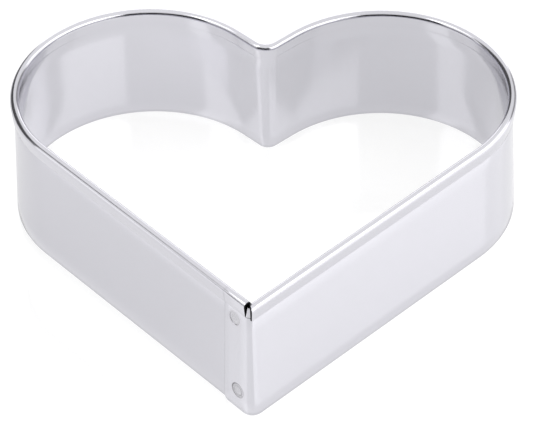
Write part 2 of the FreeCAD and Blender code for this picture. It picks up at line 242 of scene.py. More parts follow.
class Bench:
    """One mesh in edit mode, drawn and swept by pushing and turning whatever is selected."""

    ALONG = "along"
    ACROSS = "across"

    def __init__(self, piece: bpy.types.Object) -> None:
        """Enter edit mode on a piece.

        Args:
            piece: The mesh object to work on.
        """
        self.piece = piece
        self.travel = 0.0
        bpy.ops.object.mode_set(mode="EDIT")
        bpy.ops.mesh.select_mode(type="VERT")
        mesh = bmesh.from_edit_mesh(piece.data)
        for name in (self.ALONG, self.ACROSS):
            mesh.verts.layers.float.new(name)

    def mesh(self) -> bmesh.types.BMesh:
        """Return the mesh being edited."""
        return bmesh.from_edit_mesh(self.piece.data)

    def select(self, test: Callable[[Vector], bool], within: bool = False) -> int:
        """Select vertices by their place.

        Args:
            test: Says whether the vertex at a place is wanted.
            within: Keep only wanted ones among those already selected.

        Returns:
            How many vertices are selected.
        """
        mesh = self.mesh()
        wanted = [v for v in mesh.verts if test(v.co) and (v.select or not within)]
        for item in (*mesh.faces, *mesh.edges, *mesh.verts):
            item.select = False
        for vertex in wanted:
            vertex.select = True
        mesh.select_flush(True)
        bmesh.update_edit_mesh(self.piece.data)
        return len(wanted)

    def select_nearest(self, place: Vector) -> None:
        """Select the one vertex nearest to a place."""
        nearest = min(self.mesh().verts, key=lambda v: (v.co - place).length).co.copy()
        self.select(lambda co: (co - nearest).length < SAME_PLACE)

    def mark(self, layer: str, value: float) -> None:
        """Write a distance on all selected vertices.

        Args:
            layer: Name of the vertex layer.
            value: The distance in metres.
        """
        mesh = self.mesh()
        store = mesh.verts.layers.float[layer]
        for vertex in mesh.verts:
            if vertex.select:
                vertex[store] = value
        bmesh.update_edit_mesh(self.piece.data)

    def push(self, offset: Vector, layer: str, cuts: int = 1, sign: int = 1) -> None:
        """Extrude what is selected in a straight line.

        Args:
            offset: How far and which way.
            layer: Vertex layer that keeps the distance travelled.
            cuts: Number of equal steps.
            sign: Way in which the distance is counted.
        """
        step = offset / cuts
        for _ in range(cuts):
            bpy.ops.mesh.extrude_region_move(TRANSFORM_OT_translate={"value": step})
            self.travel += sign * step.length
            self.mark(layer, self.travel)

    def turn(self, centre: Vector, axis: Vector, angle: float, radius: float, layer: str,
             steps: int, sign: int = 1) -> None:
        """Extrude what is selected round an axis.

        Args:
            centre: A point on the axis.
            axis: Direction of the axis.
            angle: Angle in radians, anticlockwise about the axis.
            radius: Radius along which the distance is counted.
            layer: Vertex layer that keeps the distance travelled.
            steps: Number of equal steps.
            sign: Way in which the distance is counted.
        """
        step = angle / steps
        for _ in range(steps):
            bpy.ops.mesh.spin(steps=1, angle=-step, center=centre, axis=axis)
            self.travel += sign * abs(step) * radius
            self.mark(layer, self.travel)

    def close(self) -> None:
        """Leave edit mode."""
        bpy.ops.object.mode_set(mode="OBJECT")


def apply_modifiers(piece: bpy.types.Object) -> None:
    """Apply every modifier of a piece, in order."""
    for modifier in list(piece.modifiers):
        bpy.ops.object.modifier_apply(modifier=modifier.name)


def finish_piece(piece: bpy.types.Object, material: bpy.types.Material,
                 node: Node) -> None:
    """Give a piece its finish and its place on the part.

    Args:
        piece: The finished mesh object.
        material: Its material.
        node: The CAD node that the piece stands for.
    """
    piece.data.materials.clear()
    piece.data.materials.append(material)
    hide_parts(node.value)
    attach(piece, BODY)
    faces = sum(len(p.vertices) - 2 for p in piece.data.polygons)
    LOG.info("%s: %d triangles", piece.name, faces)


class Wiring:
    """Adds and links the nodes of one node tree."""

    FIRST_COLOUR = 6
    SECOND_COLOUR = 7
    MIXED_COLOUR = 2

    def __init__(self, tree: bpy.types.NodeTree) -> None:
        """Work on a tree.

        Args:
            tree: The node tree of a material, a world or a group.
        """
        self.tree = tree

    def put(self, value: object, socket: bpy.types.NodeSocket) -> None:
        """Link a socket to an input, or set the input's own value.

        Args:
            value: An output socket or a plain value.
            socket: The input.
        """
        if isinstance(value, bpy.types.NodeSocket):
            self.tree.links.new(value, socket)
        else:
            socket.default_value = value

    def put_all(self, values: tuple[object, ...], node: bpy.types.Node) -> None:
        """Fill a node's inputs in order.

        Args:
            values: Output sockets or plain values.
            node: The node.
        """
        for value, socket in zip(values, node.inputs):
            self.put(value, socket)

    def add(self, kind: str, tree: bpy.types.NodeTree | None = None, **inputs: object
            ) -> bpy.types.Node:
        """Add a node and fill its inputs.

        Args:
            kind: Type of the node.
            tree: Node tree that a group node places.
            inputs: Values or output sockets by the input's name.

        Returns:
            The new node.
        """
        node = self.tree.nodes.new(kind)
        if tree is not None:
            node.node_tree = tree
        for name, value in inputs.items():
            self.put(value, node.inputs[name])
        return node

    def math(self, operation: str, *values: object) -> bpy.types.NodeSocket:
        """Add a math node.

        Args:
            operation: Name of the operation.
            values: Its inputs in order, as sockets or plain numbers.

        Returns:
            The result.
        """
        node = self.tree.nodes.new("ShaderNodeMath")
        node.operation = operation
        self.put_all(values, node)
        return node.outputs[0]

    def ramp(self, value: object, reach: object) -> bpy.types.NodeSocket:
        """Add a smooth step from 0 to 1 as a value goes from minus a reach to plus that reach.

        Args:
            value: The value that rises.
            reach: Half the width of the step.

        Returns:
            The step's result.
        """
        node = self.tree.nodes.new("ShaderNodeMapRange")
        node.interpolation_type = "SMOOTHSTEP"
        self.put(value, node.inputs["Value"])
        self.put(self.math("MULTIPLY", reach, -1.0), node.inputs["From Min"])
        self.put(reach, node.inputs["From Max"])
        return node.outputs["Result"]

    def band(self, value: object, middle: float, reach: float) -> bpy.types.NodeSocket:
        """Add a soft band that is 1 where a value is at its middle and 0 beyond twice its reach.

        Args:
            value: The value that is compared.
            middle: Where the band lies.
            reach: Half the distance over which it fades.

        Returns:
            The band's result.
        """
        away = self.math("ABSOLUTE", self.math("SUBTRACT", value, middle))
        return self.ramp(self.math("SUBTRACT", reach, away), reach)

    def vector(self, operation: str, *values: object) -> bpy.types.NodeSocket:
        """Add a vector math node that gives one number.

        Args:
            operation: Name of the operation.
            values: Its inputs in order, as sockets or vectors.

        Returns:
            The result.
        """
        node = self.tree.nodes.new("ShaderNodeVectorMath")
        node.operation = operation
        self.put_all(values, node)
        return node.outputs["Value"]

    def blend(self, factor: object, first: object, second: object) -> bpy.types.NodeSocket:
        """Add a mix of two colours.

        Args:
            factor: Share of the second colour.
            first: Colour at 0, as a socket or three numbers.
            second: Colour at 1, as a socket or three numbers.

        Returns:
            The mixed colour.
        """
        node = self.tree.nodes.new("ShaderNodeMix")
        node.data_type = "RGBA"
        self.put(factor, node.inputs["Factor"])
        for colour, index in ((first, self.FIRST_COLOUR), (second, self.SECOND_COLOUR)):
            self.put((*colour, 1.0) if isinstance(colour, tuple) else colour, node.inputs[index])
        return node.outputs[self.MIXED_COLOUR]

    def give(self, name: str, value: object) -> None:
        """Link a result to the group's output of a name."""
        self.put(value, self.tree.nodes["Group Output"].inputs[name])


def shade(colour: tuple[float, float, float], tone: float) -> tuple[float, float, float]:
    """Return a colour made darker or lighter by a factor."""
    return tuple(part * tone for part in colour)


def new_group(name: str, inputs: tuple[str, ...], outputs: tuple[str, ...]
              ) -> tuple[bpy.types.NodeTree, Wiring, bpy.types.NodeOutputs]:
    """Make a node group whose inputs and outputs are all plain values.

    Args:
        name: Name of the group.
        inputs: Names of its inputs.
        outputs: Names of its outputs.

    Returns:
        The group, its wiring and the sockets that hold what it is given.
    """
    tree = bpy.data.node_groups.new(name, "ShaderNodeTree")
    for label in inputs:
        tree.interface.new_socket(label, in_out="INPUT", socket_type="NodeSocketFloat")
    for label in outputs:
        tree.interface.new_socket(label, in_out="OUTPUT", socket_type="NodeSocketFloat")
    given = tree.nodes.new("NodeGroupInput")
    tree.nodes.new("NodeGroupOutput").name = "Group Output"
    return tree, Wiring(tree), given.outputs


def rolling_grain() -> bpy.types.NodeTree:
    """Return the group that draws what a rolling mill and handling leave on sheet steel.

    It takes a place along and across the grain in metres, the length and pitch of the lines and the
    size of the wiped patches. It gives the lines and the patches, each from 0 to 1.

    Returns:
        The node group, made on its first use.
    """
    known = bpy.data.node_groups.get("rolling_grain")
    if known is not None:
        return known
    inputs = ("Along", "Across", "Line Length", "Line Pitch", "Patch Size")
    tree, desk, given = new_group("rolling_grain", inputs, ("Lines", "Patches"))
    line_detail, patch_detail = 3.0, 4.0
    for result, length, pitch, detail in (("Lines", "Line Length", "Line Pitch", line_detail),
                                          ("Patches", "Patch Size", "Patch Size", patch_detail)):
        along = desk.math("DIVIDE", given["Along"], given[length])
        across = desk.math("DIVIDE", given["Across"], given[pitch])
        place = desk.add("ShaderNodeCombineXYZ", X=along, Y=across).outputs["Vector"]
        noise = desk.add("ShaderNodeTexNoise", Vector=place, Scale=1.0, Detail=detail)
        desk.give(result, noise.outputs["Fac"])
    return tree


@dataclass(frozen=True)
class SheetMarks:
    """Distances across and along the flat sheet at which its parts begin."""

    cutting_edge: float
    tongue_top: float
    fold: float


@dataclass(frozen=True)
class LapEdge:
    """The free end of the lap's outer layer, where it lies on the wall beneath."""

    foot: Vector
    way: Vector
    out: Vector
    sheet: float


@dataclass(frozen=True)
class BrightSteel:
    """Finish of the strip: bright rolled sheet, darker along its cutting edge, with painted light and
    shade.
    """

    name: str = Slot.STRIP.value
    colour: tuple[float, float, float] = (0.655, 0.65, 0.695)
    line_tone: float = 0.96
    edge_band_tone: float = 0.78
    heat_tone: tuple[float, float, float] = (0.93, 0.91, 0.9)
    ring_shade_tone: float = 0.28
    ring_faint_share: float = 0.35
    tab_light_tone: float = 1.04
    patch_tone: float = 0.98
    lobe_shade_tone: float = 0.935
    lap_shade_tone: float = 0.86
    hollow_shade_tone: float = 0.05
    roughness: float = 0.15
    patch_roughness: float = 0.05
    edge_band_roughness: float = 0.12
    hollow_roughness: float = 0.5
    anisotropy: float = 0.8
    grain_turn: float = 0.25
    line_length: float = 30.0 * MM
    line_pitch: float = 0.35 * MM
    line_depth: float = 0.0004 * MM
    patch_size: float = 9.0 * MM
    edge_band_width: float = 0.42 * MM
    heat_reach: float = 2.3 * MM
    ring_radius: float = 1.5 * MM
    ring_width: float = 0.2 * MM
    ring_rise: float = 0.06 * MM
    lap_shade_width: float = 0.15 * MM
    tab_fade: float = 0.6 * MM
    lobe_shade_middle: float = 27.0 * MM
    lobe_shade_reach: float = 20.0 * MM

    def make(self, marks: SheetMarks, lap_edge: LapEdge, welds: list["SpotWeld"]
             ) -> bpy.types.Material:
        """Return the material.

        Args:
            marks: Where the sheet's parts begin.
            lap_edge: The free end of the lap's outer layer.
            welds: The spot welds that leave marks on the sheet.

        Returns:
            The finish, laid along the strip's own UV map.
        """
        material = bpy.data.materials.new(self.name)
        material.use_nodes = True
        desk = Wiring(material.node_tree)
        sheet = desk.add("ShaderNodeUVMap")
        sheet.uv_map = STRIP_UV
        place = desk.add("ShaderNodeSeparateXYZ", Vector=sheet.outputs["UV"]).outputs
        grain = desk.add("ShaderNodeGroup", tree=rolling_grain(), **{
            "Along": place["X"], "Across": place["Y"], "Line Length": self.line_length,
            "Line Pitch": self.line_pitch, "Patch Size": self.patch_size}).outputs
        # Darker, rougher band along the cutting edge, broken up by the grain lines.
        from_edge = desk.math("SUBTRACT", place["Y"], marks.cutting_edge)
        off_edge_band = desk.ramp(desk.math("SUBTRACT", from_edge, self.edge_band_width), self.edge_band_width)
        edge_band = desk.math("MULTIPLY", desk.math("SUBTRACT", 1.0, off_edge_band), grain["Lines"])

        tone = desk.blend(grain["Lines"], shade(self.colour, self.line_tone), self.colour)
        tone = desk.blend(grain["Patches"], shade(self.colour, self.patch_tone), tone)
        # Painted shade: darker over the right lobe, standing in for the dimmer light it reflects.
        lobe_shade = desk.band(place["X"], self.lobe_shade_middle, self.lobe_shade_reach)
        tone = desk.blend(lobe_shade, tone, shade(self.colour, self.lobe_shade_tone * self.patch_tone))
        # Painted light: the tab is a little lighter, standing in for the light its slight tilt catches.
        past_fold = desk.math("SUBTRACT", place["X"], marks.fold + self.tab_fade)
        tab_light = desk.ramp(past_fold, self.tab_fade)
        tone = desk.blend(tab_light, tone, shade(self.colour, self.tab_light_tone))
        tone = desk.blend(edge_band, tone, shade(self.colour, self.edge_band_tone))
        heated = tuple(own * heat for own, heat in zip(self.colour, self.heat_tone))
        bump = desk.add("ShaderNodeBump", Height=grain["Lines"], Distance=self.line_depth)
        spot = desk.add("ShaderNodeTexCoord").outputs["Object"]
        for weld in welds:
            gap = desk.vector("DISTANCE", spot, weld.centre)
            half_reach = self.heat_reach / 2
            near = desk.ramp(desk.math("SUBTRACT", half_reach, gap), half_reach)
            tone = desk.blend(near, tone, heated)
            # Ring round each weld: faint all round as the electrode's mark, with painted dark
            # reflection strongest on the side away from the tip.
            ring = desk.band(gap, self.ring_radius, self.ring_width / 2)
            ring_shade = desk.math("MULTIPLY", ring, self._painted_ring_shade(desk, spot, lap_edge.way, weld))
            tone = desk.blend(ring_shade, tone, shade(self.colour, self.ring_shade_tone))
            rise = desk.ramp(desk.math("SUBTRACT", self.ring_radius, gap), self.ring_width)
            bump = desk.add("ShaderNodeBump", Height=rise, Distance=self.ring_rise * weld.mark,
                            Normal=bump.outputs["Normal"])
        # Painted shade: a thin dark line on the wall along the tab's free end.
        lap_line = self._lap_shade_line(desk, spot, lap_edge)
        tone = desk.blend(lap_line, tone, shade(self.colour, self.lap_shade_tone))
        # Painted shade: near black on the faces inside the hem and at its open ends.
        hollow = desk.add("ShaderNodeAttribute")
        hollow.attribute_name = HOLLOW
        tone = desk.blend(hollow.outputs["Fac"], tone, shade(self.colour, self.hollow_shade_tone))
        rough = desk.math("MULTIPLY_ADD", grain["Patches"], self.patch_roughness,
                          self.roughness - self.patch_roughness / 2)
        rough = desk.math("MULTIPLY_ADD", edge_band, self.edge_band_roughness, rough)
        rough = desk.math("MULTIPLY_ADD", hollow.outputs["Fac"], self.hollow_roughness, rough)

        shader = material.node_tree.nodes["Principled BSDF"]
        shader.inputs["Metallic"].default_value = 1.0
        shader.inputs["Anisotropic"].default_value = self.anisotropy
        shader.inputs["Anisotropic Rotation"].default_value = self.grain_turn
        tangent = desk.add("ShaderNodeTangent")
        tangent.direction_type = "UV_MAP"
        tangent.uv_map = STRIP_UV
        desk.put(tone, shader.inputs["Base Color"])
        desk.put(rough, shader.inputs["Roughness"])
        desk.put(bump.outputs["Normal"], shader.inputs["Normal"])
        desk.put(tangent.outputs["Tangent"], shader.inputs["Tangent"])
        return material

    def _painted_ring_shade(self, desk: Wiring, spot: bpy.types.NodeSocket, way: Vector, weld: "SpotWeld"
                ) -> bpy.types.NodeSocket:
        """Return the ring's painted dark reflection round a weld, most on the side away from the tip.

        Args:
            desk: Wiring of the material.
            spot: The place on the piece.
            way: Direction away from the tip.
            weld: The weld inside the ring.

        Returns:
            Share of the ring's own tone.
        """
        aside = self._beyond(desk, spot, weld.centre, way)
        shaded_side = desk.ramp(aside, self.ring_radius)
        strong, faint = weld.mark, weld.mark * self.ring_faint_share
        return desk.math("MULTIPLY_ADD", shaded_side, strong - faint, faint)

    @staticmethod
    def _beyond(desk: Wiring, spot: bpy.types.NodeSocket, start: Vector, way: Vector
                ) -> bpy.types.NodeSocket:
        """Return how far the place on the piece lies beyond a point.

        Args:
            desk: Wiring of the material.
            spot: The place on the piece.
            start: The point.
            way: Direction in which the distance grows.

        Returns:
            The distance in metres.
        """
        return desk.math("SUBTRACT", desk.vector("DOT_PRODUCT", spot, way), start.dot(way))

    def _lap_shade_line(self, desk: Wiring, spot: bpy.types.NodeSocket, edge: LapEdge
                  ) -> bpy.types.NodeSocket:
        """Return a mask of the thin line of painted shade along the lap's free end.

        Args:
            desk: Wiring of the material.
            spot: The place on the piece.
            edge: The free end of the lap's outer layer.

        Returns:
            1 on the line, on the outside of the wall only.
        """
        past_end = self._beyond(desk, spot, edge.foot, edge.way)
        reach = self._beyond(desk, spot, edge.foot, edge.out)
        outside = desk.ramp(desk.math("ADD", reach, edge.sheet / 2), edge.sheet / 4)
        return desk.math("MULTIPLY", desk.band(past_end, 0.0, self.lap_shade_width), outside)


@dataclass(frozen=True)
class WeldSteel:
    """Finish of a spot weld: steel pressed by the electrode, a little duller, with a darker rim."""

    name: str = Slot.WELD.value
    colour: tuple[float, float, float] = (0.63, 0.625, 0.66)
    rim_tone: float = 0.72
    patch_tone: float = 0.9
    roughness: float = 0.2
    patch_roughness: float = 0.16
    line_length: float = 0.5 * MM
    line_pitch: float = 0.08 * MM
    line_depth: float = 0.0015 * MM
    patch_size: float = 0.5 * MM
    rim_radius: float = 1.08 * MM
    rim_width: float = 0.13 * MM

    def make(self, centre: Vector) -> bpy.types.Material:
        """Return the material.

        Args:
            centre: Middle of the weld.

        Returns:
            The finish, centred on that weld.
        """
        material = bpy.data.materials.new(self.name)
        material.use_nodes = True
        desk = Wiring(material.node_tree)
        place = desk.add("ShaderNodeTexCoord").outputs["Object"]
        centred = desk.add("ShaderNodeMapping", Vector=place, Location=-centre).outputs["Vector"]
        axes = desk.add("ShaderNodeSeparateXYZ", Vector=centred).outputs
        grain = desk.add("ShaderNodeGroup", tree=rolling_grain(), **{
            "Along": axes["X"], "Across": axes["Z"], "Line Length": self.line_length,
            "Line Pitch": self.line_pitch, "Patch Size": self.patch_size}).outputs
        rim = desk.band(desk.vector("LENGTH", centred), self.rim_radius, self.rim_width)
        tone = desk.blend(grain["Patches"], shade(self.colour, self.patch_tone), self.colour)
        tone = desk.blend(rim, tone, shade(self.colour, self.rim_tone))
        rough = desk.math("MULTIPLY_ADD", grain["Patches"], self.patch_roughness, self.roughness)
        bump = desk.add("ShaderNodeBump", Height=grain["Lines"], Distance=self.line_depth)
        shader = material.node_tree.nodes["Principled BSDF"]
        shader.inputs["Metallic"].default_value = 1.0
        desk.put(tone, shader.inputs["Base Color"])
        desk.put(rough, shader.inputs["Roughness"])
        desk.put(bump.outputs["Normal"], shader.inputs["Normal"])
        return material


@dataclass
class HeartStrip:
    """The strip: a wall, a rolled hem and a lap, bent from one sheet."""

    sizes: StripSizes
    path: HeartPath
    welds: list["SpotWeld"]
    name: str = "bright_strip"
    finish: BrightSteel = BrightSteel()
    roll_points: int = 64
    neck_bend_radius: float = 1.2 * MM
    neck_steps: int = 6
    hem_cuts: int = 3
    wall_cuts: int = 8
    cleft_steps: int = 16
    shoulder_cuts: int = 4
    lobe_steps: int = 40
    round_steps: int = 96
    side_cuts: int = 12
    tip_steps: int = 10
    tongue_steps: int = 9
    tab_cuts: int = 4
    tab_corner_steps: int = 8
    edge_round: float = 0.05 * MM
    edge_steps: int = 2
    edge_angle: float = math.radians(60.0)
    smooth_angle: float = math.radians(40.0)
    drill_lengths: int = 3
    cut_end_share: float = 0.75

    def build(self) -> bpy.types.Object:
        """Model the strip and dress it.

        Returns:
            The finished piece.
        """
        bench, cutting_edge, tongue_top = self._draw_section()
        marks = SheetMarks(cutting_edge, tongue_top, self._sweep_right(bench))
        self._sweep_left(bench)
        self._round_tab(bench)
        self._lay_uv(bench)
        bench.close()
        piece = bench.piece
        self._thicken(piece)
        self._mark_hollow(piece, marks)
        for weld in self.welds:
            self._drill(piece, weld)
        bpy.ops.object.shade_smooth_by_angle(angle=self.smooth_angle)
        material = self.finish.make(marks, self._lap_edge(), self.welds)
        finish_piece(piece, material, Node.STRIP)
        return piece

    def _drill(self, piece: bpy.types.Object, weld: "SpotWeld") -> None:
        """Cut the hole for a weld through both layers of the lap.

        Args:
            piece: The thickened strip.
            weld: The weld that fills the hole.
        """
        drill = weld.blank("drill", weld.diameter / 2, self.drill_lengths * weld.thickness)
        bpy.ops.object.select_all(action="DESELECT")
        piece.select_set(True)
        bpy.context.view_layer.objects.active = piece
        hole = piece.modifiers.new("weld_hole", "BOOLEAN")
        hole.operation = "DIFFERENCE"
        hole.solver = "EXACT"
        hole.object = drill
        apply_modifiers(piece)
        bpy.data.objects.remove(drill)

    def _roll_centre(self) -> Vector:
        """Return the middle of the roll at the cleft."""
        height = self.sizes.height - self.sizes.roll_diameter / 2
        return self.path.valley + Vector((0.0, self.sizes.roll_offset, height))

    def _draw_section(self) -> tuple[Bench, float, float]:
        """Draw the sheet's inner skin at the cleft, from the cutting edge round the roll to the lip.

        The leg leans in from the end of the neck's bend to touch the roll, and the flap comes back down
        to the lip.

        Returns:
            The bench with the section as a chain of edges, and the distances across the sheet at the
            cutting edge and at the top of the tongue.
        """
        sizes = self.sizes
        radius = sizes.roll_diameter / 2
        centre = self._roll_centre()
        neck = self.path.valley + UP * sizes.neck
        bpy.ops.object.select_all(action="DESELECT")
        bpy.ops.mesh.primitive_circle_add(
            vertices=self.roll_points, radius=radius, location=centre,
            rotation=(0.0, math.pi / 2, 0.0))
        piece = bpy.context.object
        piece.name = self.name
        bpy.ops.object.transform_apply(location=True, rotation=True, scale=True)
        bench = Bench(piece)

        lean = self._leg_lean(neck, centre, radius)
        half_bend = (lean + sizes.wall_lean) / 2
        tangent = self.neck_bend_radius * math.tan(half_bend)
        leg_way = Vector((0.0, -math.sin(lean), math.cos(lean)))
        leg_touch = centre + Vector((0.0, -math.cos(lean), -math.sin(lean))) * radius
        lip_in = self.path.valley.y + sizes.sheet + sizes.lip_gap
        lip_height = sizes.neck + sizes.lip_clearance
        lip_corner = Vector((0.0, lip_in, lip_height))
        flap_angle = self._flap_angle(lip_corner, centre, radius - sizes.sheet)
        flap_touch = centre + Vector((0.0, math.cos(flap_angle), math.sin(flap_angle))) * radius
        lip = Vector((0.0, lip_in + sizes.sheet / math.cos(flap_angle), lip_height))

        def below_touches(place: Vector) -> bool:
            """Say whether a point of the circle lies under the two touching points."""
            limit = leg_touch.z if 2 * place.y < leg_touch.y + flap_touch.y else flap_touch.z
            return place.z < limit + radius / self.roll_points

        bench.select(below_touches)
        bpy.ops.mesh.delete(type="VERT")
        self._mark_roll(bench, centre, radius)

        bench.select_nearest(leg_touch)
        bench.travel = self._roll_across(bench)
        bench.push(leg_touch - self._chosen(bench), Bench.ACROSS, sign=-1)
        leg_end = neck + leg_way * tangent
        leg_head = leg_touch + leg_way * (sizes.tongue_head - leg_touch.z) / leg_way.z
        bench.push(leg_head - leg_touch, Bench.ACROSS, sign=-1)
        tongue_top = bench.travel
        bench.push(leg_end - leg_head, Bench.ACROSS, cuts=self.hem_cuts, sign=-1)
        bend_out = Vector((0.0, math.cos(lean), math.sin(lean)))
        bend_centre = leg_end + bend_out * self.neck_bend_radius
        bench.turn(bend_centre, Vector((1.0, 0.0, 0.0)), 2 * half_bend, self.neck_bend_radius,
                   Bench.ACROSS, self.neck_steps, sign=-1)
        foot = self.path.valley + Vector((0.0, sizes.edge_flare, 0.0))
        bench.push(foot - self._chosen(bench), Bench.ACROSS, cuts=self.wall_cuts, sign=-1)
        cutting_edge = bench.travel

        bench.select_nearest(flap_touch)
        bench.travel = self._roll_across(bench)
        bench.push(flap_touch - self._chosen(bench), Bench.ACROSS)
        bench.push(lip - flap_touch, Bench.ACROSS, cuts=self.hem_cuts)
        return bench, cutting_edge, tongue_top

    @staticmethod
    def _leg_lean(neck: Vector, centre: Vector, radius: float) -> float:
        """Work out how far the leg leans inwards from upright.

        Args:
            neck: Foot of the leg.
            centre: Middle of the roll.
            radius: Radius of the roll.

        Returns:
            The angle in radians.
        """
        sight = centre - neck
        return math.asin(radius / sight.length) - math.atan2(sight.y, sight.z)

    @staticmethod
    def _flap_angle(lip: Vector, centre: Vector, radius: float) -> float:
        """Work out the angle at which the flap's inside leaves the bore.

        Args:
            lip: Inside corner of the lip.
            centre: Middle of the roll.
            radius: Radius of the bore.

        Returns:
            The angle from level, in radians.
        """
        sight = lip - centre
        return math.atan2(sight.z, sight.y) + math.acos(radius / math.hypot(sight.y, sight.z))

    @staticmethod
    def _chosen(bench: Bench) -> Vector:
        """Return the place of the one selected vertex."""
        return next(v.co for v in bench.mesh().verts if v.select).copy()

    @staticmethod
    def _roll_across(bench: Bench) -> float:
        """Read the distance across the sheet at the one selected vertex.

        Args:
            bench: The bench that holds the section.

        Returns:
            The distance in metres.
        """
        mesh = bench.mesh()
        store = mesh.verts.layers.float[Bench.ACROSS]
        return next(v[store] for v in mesh.verts if v.select)

    @staticmethod
    def _mark_roll(bench: Bench, centre: Vector, radius: float) -> None:
        """Write the distance across the sheet along the roll, counted from its top.

        Args:
            bench: The bench that holds the roll's arc.
            centre: Middle of the roll.
            radius: Radius of the roll.
        """
        mesh = bench.mesh()
        store = mesh.verts.layers.float[Bench.ACROSS]
        for vertex in mesh.verts:
            arm = vertex.co - centre
            vertex[store] = radius * math.atan2(arm.y, arm.z)
        bmesh.update_edit_mesh(bench.piece.data)

    def _sweep_half(self, bench: Bench, side: int) -> None:
        """Sweep the section from the cleft round one lobe.

        Args:
            bench: The bench that holds the section.
            side: +1 for the right half, -1 for the left.
        """
        path = self.path

        def here(point: Vector) -> Vector:
            """Return a point of the right half on this side."""
            return point if side > 0 else mirrored(point)

        def turn(centre: Vector, angle: float, arm: float, steps: int) -> None:
            """Turn about an upright axis; the angle is that of the right half."""
            bench.turn(here(centre), UP, side * angle, arm, Bench.ALONG, steps, side)

        tip_clear = path.valley.y / 2
        bench.select(lambda co: abs(co.x) < SAME_PLACE and co.y > tip_clear)
        bench.travel = 0.0
        turn(path.cleft, path.slope, path.cleft_radius, self.cleft_steps)
        bench.push(here(path.shoulder), Bench.ALONG, self.shoulder_cuts, side)
        lobe_radius = self.sizes.lobe_radius - self.sizes.edge_flare
        turn(path.lobe, -path.slope, lobe_radius, self.lobe_steps)
        round_radius = (path.lobe_end - path.outer).length
        turn(path.outer, -(math.pi / 2 + path.half_tip), round_radius, self.round_steps)

    def _sweep_right(self, bench: Bench) -> float:
        """Sweep the right half, then the roll a little past the tip and the plain end round it.

        Args:
            bench: The bench that holds the section.

        Returns:
            Distance along the strip at which the fold round the tip starts.
        """
        path, sizes = self.path, self.sizes
        side = path.bend_start - path.lobe_end
        way = side.normalized()
        self._sweep_half(bench, 1)
        bench.push(side, Bench.ALONG, self.side_cuts)
        fold = bench.travel

        def on_ring(place: Vector) -> bool:
            """Say whether a vertex lies on the section at the start of the bend."""
            return abs((place - path.bend_start).dot(way)) < SAME_PLACE

        def on_leg(place: Vector) -> bool:
            """Say whether a vertex lies on the leg or the wall, and not on the roll or flap.

            Args:
                place: The place of the vertex.

            Returns:
                Whether the part is folded round the tip.
            """
            reach = (place - path.bend_start).dot(path.out_right)
            flare = max(0.0, sizes.neck - place.z) * sizes.flare_slope
            below_head = place.z < sizes.tongue_head + self.edge_round
            return on_ring(place) and below_head and reach - flare < sizes.roll_offset

        bench.select(lambda co: on_ring(co) and not on_leg(co), within=True)
        overhang = sizes.roll_overhang + sizes.mitre_slope * sizes.roll_diameter
        bench.push(way * overhang, Bench.ALONG)
        bench.select(lambda co: (co - path.bend_start).dot(way) > -SAME_PLACE and not on_leg(co))
        bpy.ops.mesh.bisect(plane_co=path.bend_start + way * sizes.roll_overhang, clear_outer=True,
                            plane_no=(way - path.out_right * sizes.mitre_slope).normalized())
        bench.travel = fold
        bench.select(on_leg)
        bend = -(math.pi - 2 * path.half_tip) / self.tip_steps
        arm = sizes.tip_bend_radius
        bench.turn(path.tip, UP, bend * self.tongue_steps, arm, Bench.ALONG, self.tongue_steps)
        bench.select(lambda co: co.z < sizes.neck, within=True)
        tab_steps = self.tip_steps - self.tongue_steps
        bench.turn(path.tip, UP, bend * tab_steps, arm, Bench.ALONG, tab_steps)
        bench.push(path.tab, Bench.ALONG, self.tab_cuts)
        return fold

    def _sweep_left(self, bench: Bench) -> None:
        """Sweep the left half to the end of the inner layer of the lap.

        Args:
            bench: The bench that holds the section.
        """
        self._sweep_half(bench, -1)
        side = self.path.tongue_end - mirrored(self.path.lobe_end)
        bench.push(side, Bench.ALONG, self.side_cuts, -1)

    def _round_tab(self, bench: Bench) -> None:
        """Round the tab's free lower corner.

        Args:
            bench: The bench that holds the swept skin.
        """
        bench.select_nearest(self._tab_foot())
        bpy.ops.mesh.bevel(offset=self.sizes.tab_corner_radius, segments=self.tab_corner_steps,
                           affect="VERTICES")

    def _tab_foot(self) -> Vector:
        """Return the lower corner of the tab's free end, before it is rounded."""
        return self.path.bend_end + self.path.tab + self.path.out_left * self.sizes.edge_flare

    @staticmethod
    def _lay_uv(bench: Bench) -> None:
        """Lay the sheet flat in UV: along the strip in U and across it in V, in metres.

        Args:
            bench: The bench that holds the swept skin.
        """
        mesh = bench.mesh()
        uv = mesh.loops.layers.uv.new(STRIP_UV)
        along = mesh.verts.layers.float[Bench.ALONG]
        across = mesh.verts.layers.float[Bench.ACROSS]
        for face in mesh.faces:
            for loop in face.loops:
                loop[uv].uv = (loop.vert[along], loop.vert[across])
        bmesh.update_edit_mesh(bench.piece.data)

    def _thicken(self, piece: bpy.types.Object) -> None:
        """Give the sheet its thickness and soften its cut edges.

        Args:
            piece: The swept skin.
        """
        sizes = self.sizes
        bpy.ops.object.mode_set(mode="EDIT")
        bpy.ops.mesh.select_all(action="SELECT")
        bpy.ops.mesh.normals_make_consistent(inside=False)
        bpy.ops.object.mode_set(mode="OBJECT")
        low_faces = (p for p in piece.data.polygons if p.center.z < sizes.neck / 2)
        hindmost = max(low_faces, key=lambda p: p.center.y)
        if hindmost.normal.y > 0:
            piece.data.flip_normals()
        piece.vertex_groups.new(name=OUTER_SKIN)
        wall = piece.modifiers.new("sheet", "SOLIDIFY")
        wall.thickness = sizes.sheet
        wall.offset = -1.0
        wall.shell_vertex_group = OUTER_SKIN
        edges = piece.modifiers.new("cut_edges", "BEVEL")
        edges.width = self.edge_round
        edges.segments = self.edge_steps
        edges.limit_method = "ANGLE"
        edges.angle_limit = self.edge_angle
        apply_modifiers(piece)

